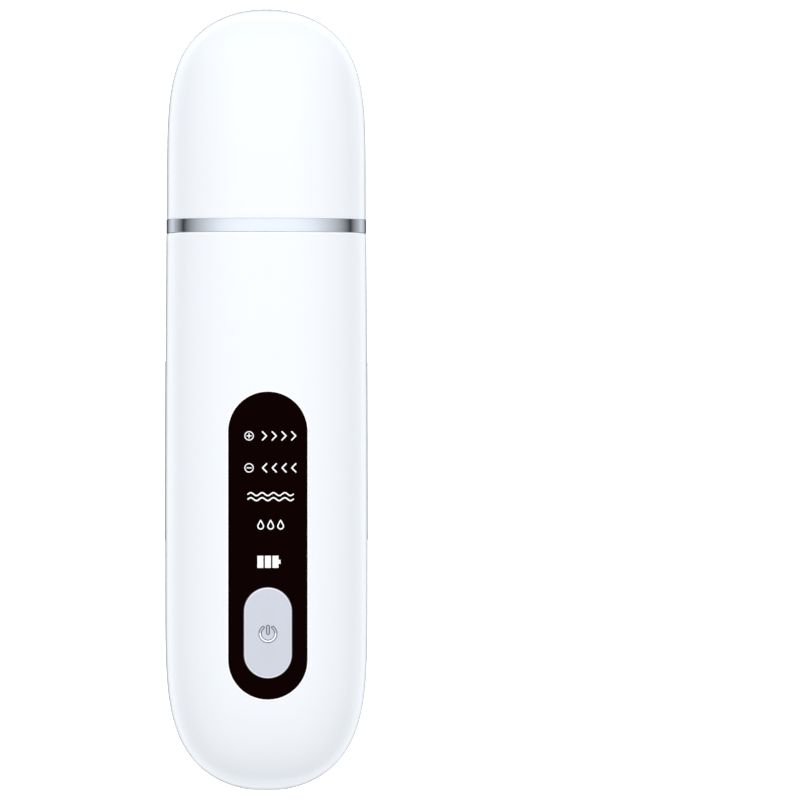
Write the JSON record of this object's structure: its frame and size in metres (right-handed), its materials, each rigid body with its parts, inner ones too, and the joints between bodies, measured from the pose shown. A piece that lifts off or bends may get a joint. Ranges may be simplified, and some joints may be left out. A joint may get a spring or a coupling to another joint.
{
  "type": "ultrasonic skin scrubber",
  "caption": "Cordless hand-held skin scrubber: rounded white handle with a dark panel and power key, chrome ring, steel spatula blade and pull-off cap.",
  "frame": {"origin": "under the middle of the length, on the flat along the back that the device lies on", "axes": "+X across the handle to the right seen from the front, +Y along the handle towards the cap, +Z out of the front, where the panel is"},
  "size_m": [0.0452, 0.1738, 0.028],
  "materials": {
    "cap_plastic": "high-gloss white moulded cap",
    "shell_plastic": "high-gloss white moulded shell",
    "neck_plastic": "satin-gloss white moulding",
    "ring_chrome": "bright chrome plating",
    "lens_black": "gloss black acrylic window",
    "button_silver": "fine silver paint on a moulded key",
    "blade_steel": "finely brushed stainless steel",
    "contact_steel": "satin stainless steel strip",
    "seal_silicone": "pale silicone seal",
    "silicone": "grey silicone",
    "clamp_aluminium": "milled aluminium block",
    "piezo_ceramic": "fired ceramic disc with silvered faces",
    "screw_steel": "zinc-plated steel",
    "tape": "black adhesive film",
    "black_plastic": "moulded black body",
    "switch_brass": "brass",
    "baffle_plastic": "white light guide frame",
    "led_body": "LED package",
    "board_green": "green solder mask",
    "ferrite": "sintered ferrite core",
    "capacitor_can": "aluminium can",
    "socket_steel": "drawn steel socket shell",
    "battery_pouch": "laminated foil pouch",
    "foam": "open-cell foam pad",
    "ribbon_amber": "amber polyimide flat cable",
    "lead_red": "red insulation",
    "lead_black": "black insulation",
    "label_film": "blank silver-grey film"
  },
  "bodies": {
    "handle": {"front_shell": "shell_plastic", "rear_shell": "shell_plastic", "rating_label": "label_film", "chrome_ring": "ring_chrome", "neck_housing": "neck_plastic", "neck_gasket": "silicone", "neck_screws": "screw_steel", "blade": "blade_steel", "blade_seal": "seal_silicone", "blade_clamp_front": "clamp_aluminium", "blade_clamp_rear": "clamp_aluminium", "clamp_screws": "screw_steel", "piezo_disc_front": "piezo_ceramic", "piezo_disc_rear": "piezo_ceramic", "transducer_sleeve": "silicone", "display_lens": "lens_black", "lens_tape": "tape", "switch_body": "black_plastic", "light_baffle": "baffle_plastic", "mode_leds": "led_body", "battery_leds": "led_body", "main_board": "board_green", "board_screws": "screw_steel", "control_chip": "black_plastic", "drive_transformer": "ferrite", "boost_inductor": "ferrite", "capacitor": "capacitor_can", "charge_board": "board_green", "charge_board_screws": "screw_steel", "charge_chip": "black_plastic", "charge_ribbon": "ribbon_amber", "usb_socket": "socket_steel", "usb_tongue": "black_plastic", "battery_cell": "battery_pouch", "battery_foam": "foam", "battery_lead_red": "lead_red", "battery_lead_black": "lead_black", "piezo_lead_front": "lead_red", "piezo_lead_rear": "lead_black", "side_contact_right": "contact_steel", "side_contact_left": "contact_steel", "contact_spring_right": "switch_brass", "contact_spring_left": "switch_brass"},
    "cap": {"cap_shell": "cap_plastic"},
    "button": {"power_button": "button_silver"},
    "plunger": {"switch_plunger": "switch_brass"}
  },
  "joints": [
    {"name": "cap_slide", "type": "slide", "parent": "handle", "child": "cap", "axis": [0, 1, 0], "range_m": [0, 0.06]},
    {"name": "power_button_press", "type": "slide", "parent": "handle", "child": "button", "axis": [0, 0, -1], "range_m": [0, 0.00035], "stiffness_N_per_m": 2500},
    {"name": "switch_plunger_press", "type": "slide", "parent": "handle", "child": "plunger", "axis": [0, 0, -1], "range_m": [0, 0.00035]}
  ],
  "couplings": [
    {"joint": "switch_plunger_press", "follows": "power_button_press", "ratio": 1}
  ]
}
